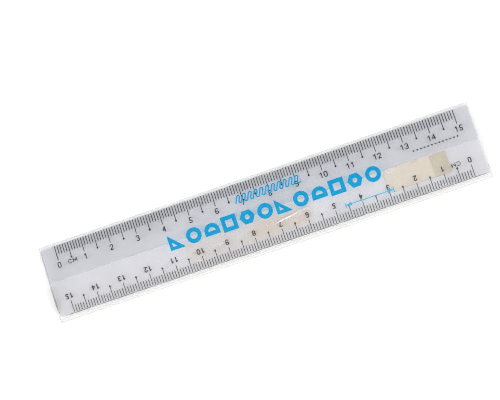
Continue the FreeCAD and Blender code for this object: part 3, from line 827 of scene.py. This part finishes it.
def build_tape(settings, material):
    """The strip of tape under the blade: a ragged left end, and a right end folded back underneath."""
    width = TAPE_HIGH.y - TAPE_LOW.y
    fold_length = 6.2 * MM
    top = BLADE_LOW.z - 0.003 * MM
    gap = settings.thickness + 0.012 * MM
    corners = [
        flat2(TAPE_LOW.x, 0),
        flat2(TAPE_HIGH.x - 0.03 * MM, 0),
        flat2(TAPE_HIGH.x - 0.03 * MM, -gap),
        flat2(TAPE_HIGH.x - fold_length, -gap),
    ]
    along = Route(rounded_line(corners, gap / 2))
    mesh = unit_grid(settings.columns, settings.rows)
    doubled_layer = mesh.verts.layers.float.new("doubled")
    crinkle_layer = mesh.verts.layers.float.new("crinkle")
    for vert in mesh.verts:
        u, v = vert.co.x, vert.co.y
        x, drop = along.at(u)
        under = drop < -gap * 0.6
        inset = 0.25 * MM if under else 0.0
        y = TAPE_LOW.y + inset + (width - 2 * inset) * v
        y += 0.07 * MM * noise.noise(Vector((x * 260, v * 2, 5.0))) * (1 if 0 < v < 1 else 2)
        ragged = max(0.0, 1 - (x - TAPE_LOW.x) / (1.2 * MM))
        x += ragged * 0.45 * MM * (0.5 + noise.noise(Vector((2.0, y * 900, 0.4))))
        web = tape_crinkle(x, y)
        reached_fold = smooth_step((x - (TAPE_HIGH.x - fold_length - 0.1 * MM)) / (0.25 * MM))
        vert.co = (x, y, top + drop - web * settings.crinkle)
        vert[doubled_layer] = reached_fold
        vert[crinkle_layer] = web * 0.5
    give_wall(mesh, settings.thickness)
    tape = new_piece("tape", mesh, "ruler", material)
    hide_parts("tape_strip")


# ---- stage ----------------------------------------------------------------------------------------
SIDE_SOFTBOX = (0.87, 0.1, 1.05)  # the one on the right, in metres
TOP_SOFTBOX = (-0.05, -0.3, 0.8)
TOP_SOFTBOX_TARGET = (-0.05, -0.29, 0.0)
WARM_LIGHT = (1.0, 0.955, 0.89)
CAMERA_SENSOR_MM = 36.0


def add_softbox(name, place, target, size, watts, tint=(1, 1, 1)):
    """A rectangular light at place, turned towards target."""
    light = bpy.data.lights.new(name, "AREA")
    light.shape = "RECTANGLE"
    light.size, light.size_y = size
    light.energy = watts
    light.color = tint
    lamp = bpy.data.objects.new(name, light)
    bpy.context.scene.collection.objects.link(lamp)
    turned = (target - place).to_track_quat("-Z", "Y").to_matrix().to_4x4()
    lamp.matrix_world = Matrix.Translation(place) @ turned


def build_floor(settings):
    """A wide plain floor, just under the sleeve."""
    mesh = bmesh.new()
    bmesh.ops.create_grid(mesh, x_segments=1, y_segments=1, size=3.0)
    bmesh.ops.translate(mesh, vec=(0, 0, -0.002 * MM), verts=mesh.verts)
    data = bpy.data.meshes.new("floor")
    mesh.to_mesh(data)
    mesh.free()
    data.materials.append(matt_floor(settings))
    floor = bpy.data.objects.new("floor", data)
    bpy.context.scene.collection.objects.link(floor)


def build_room(settings):
    """Even light from all round, brighter near the horizon, and the render's view and bounces."""
    world = bpy.data.worlds.new("room")
    world.use_nodes = True
    tree = world.node_tree
    background = tree.nodes["Background"]
    background.inputs["Color"].default_value = (0.97, 0.98, 1.0, 1.0)
    direction = add_node(tree, "ShaderNodeTexCoord").outputs["Generated"]
    height = add_node(tree, "ShaderNodeSeparateXYZ", {0: direction}).outputs["Z"]
    brightness = remap(tree, height, 0.1, 0.6, settings.walls, settings.ceiling)
    tree.links.new(brightness, background.inputs["Strength"])
    scene = bpy.context.scene
    scene.world = world
    scene.view_settings.view_transform = "Standard"
    scene.cycles.max_bounces = 24
    scene.cycles.transmission_bounces = 24
    scene.cycles.transparent_max_bounces = 48
    scene.cycles.filter_width = 1.0


def build_lights(settings):
    """A softbox on each side of the ruler, and a warmer one beyond its lower edge."""
    x, y, z = SIDE_SOFTBOX
    add_softbox("left_softbox", Vector((-x, y, z)), Vector(), (1.0, 0.8), settings.left_power)
    add_softbox("right_softbox", Vector((x, y, z)), Vector(), (1.0, 0.8), settings.right_power)
    below = Vector(TOP_SOFTBOX_TARGET)
    add_softbox("top_softbox", Vector(TOP_SOFTBOX), below, (1.2, 0.6), settings.top_power, WARM_LIGHT)


def build_camera(settings):
    """The camera, almost straight above the ruler."""
    data = bpy.data.cameras.new("camera")
    data.lens = settings.lens
    data.sensor_width = CAMERA_SENSOR_MM
    camera = bpy.data.objects.new("camera", data)
    bpy.context.scene.collection.objects.link(camera)
    turned = Euler(settings.camera_turn).to_matrix().to_4x4()
    camera.matrix_world = Matrix.Translation(settings.camera_place) @ turned
    bpy.context.scene.camera = camera


# ---- operators ------------------------------------------------------------------------------------
class RULER_OT_stage(bpy.types.Operator):
    """Add the floor, the soft light and the camera"""

    bl_idname = "ruler.stage"
    bl_label = "Stage"

    def execute(self, context):
        settings = context.scene.ruler_stage
        build_room(settings)
        build_floor(settings)
        build_lights(settings)
        build_camera(settings)
        return {"FINISHED"}


class RULER_OT_blade(bpy.types.Operator):
    """Give the blade its clear, scratched plastic"""

    bl_idname = "ruler.blade"
    bl_label = "Blade"

    def execute(self, context):
        set_material("blade", clear_plastic(context.scene.ruler_blade))
        return {"FINISHED"}


class RULER_OT_scales(bpy.types.Operator):
    """Give the stamped scales their worn black ink"""

    bl_idname = "ruler.scales"
    bl_label = "Scales"

    def execute(self, context):
        settings = context.scene.ruler_print
        black = ink("rubbed_black_ink", settings.black, settings.wear, settings.roughness)
        for name in BLACK_NODES:
            set_material(name, black)
        return {"FINISHED"}


class RULER_OT_tape(bpy.types.Operator):
    """Lay the aged strip of tape under the blade"""

    bl_idname = "ruler.tape"
    bl_label = "Tape"

    def execute(self, context):
        settings = context.scene.ruler_tape
        build_tape(settings, aged_tape(settings))
        return {"FINISHED"}


class RULER_OT_sleeve(bpy.types.Operator):
    """Make the sleeve's front and back film"""

    bl_idname = "ruler.sleeve"
    bl_label = "Sleeve films"

    def execute(self, context):
        settings = context.scene.ruler_sleeve
        film = clear_film(settings)
        build_front_film(settings, film)
        build_back_film(settings, film)
        return {"FINISHED"}


class RULER_OT_sleeve_prints(bpy.types.Operator):
    """Give the prints on the sleeve their blue inks"""

    bl_idname = "ruler.sleeve_prints"
    bl_label = "Sleeve prints"

    def execute(self, context):
        settings = context.scene.ruler_print
        wear, roughness, glow = settings.film_wear, settings.roughness, settings.glow
        blue = ink("flaking_blue_ink", settings.blue, wear, roughness, 1500.0, glow)
        light_blue = ink("flaking_light_blue_ink", settings.light_blue, wear, roughness, 1500.0, glow)
        set_material("sleeve_band_print", blue)
        set_material("sleeve_scribble_print", blue)
        set_material("sleeve_arrow_print", light_blue)
        return {"FINISHED"}


class RULER_PT_panel(bpy.types.Panel):
    """The pieces of the ruler and its sleeve"""

    bl_idname = "RULER_PT_panel"
    bl_label = "Ruler"
    bl_space_type = "VIEW_3D"
    bl_region_type = "UI"
    bl_category = "Ruler"

    def draw(self, context):
        for operator in OPERATORS:
            self.layout.operator(operator.bl_idname)


SETTINGS = {
    "ruler_stage": StageSettings,
    "ruler_blade": BladeSettings,
    "ruler_print": PrintSettings,
    "ruler_tape": TapeSettings,
    "ruler_sleeve": SleeveSettings,
}
OPERATORS = (
    RULER_OT_stage,
    RULER_OT_blade,
    RULER_OT_scales,
    RULER_OT_tape,
    RULER_OT_sleeve,
    RULER_OT_sleeve_prints,
)


def register():
    for kind in (*SETTINGS.values(), *OPERATORS, RULER_PT_panel):
        bpy.utils.register_class(kind)
    for name, kind in SETTINGS.items():
        setattr(bpy.types.Scene, name, PointerProperty(type=kind))


def unregister():
    for name in SETTINGS:
        delattr(bpy.types.Scene, name)
    for kind in (RULER_PT_panel, *reversed(OPERATORS), *reversed(SETTINGS.values())):
        bpy.utils.unregister_class(kind)


def main():
    register()
    bpy.ops.ruler.stage()
    bpy.ops.ruler.blade()
    bpy.ops.ruler.scales()
    bpy.ops.ruler.tape()
    bpy.ops.ruler.sleeve()
    bpy.ops.ruler.sleeve_prints()


if __name__ == "__main__":
    main()
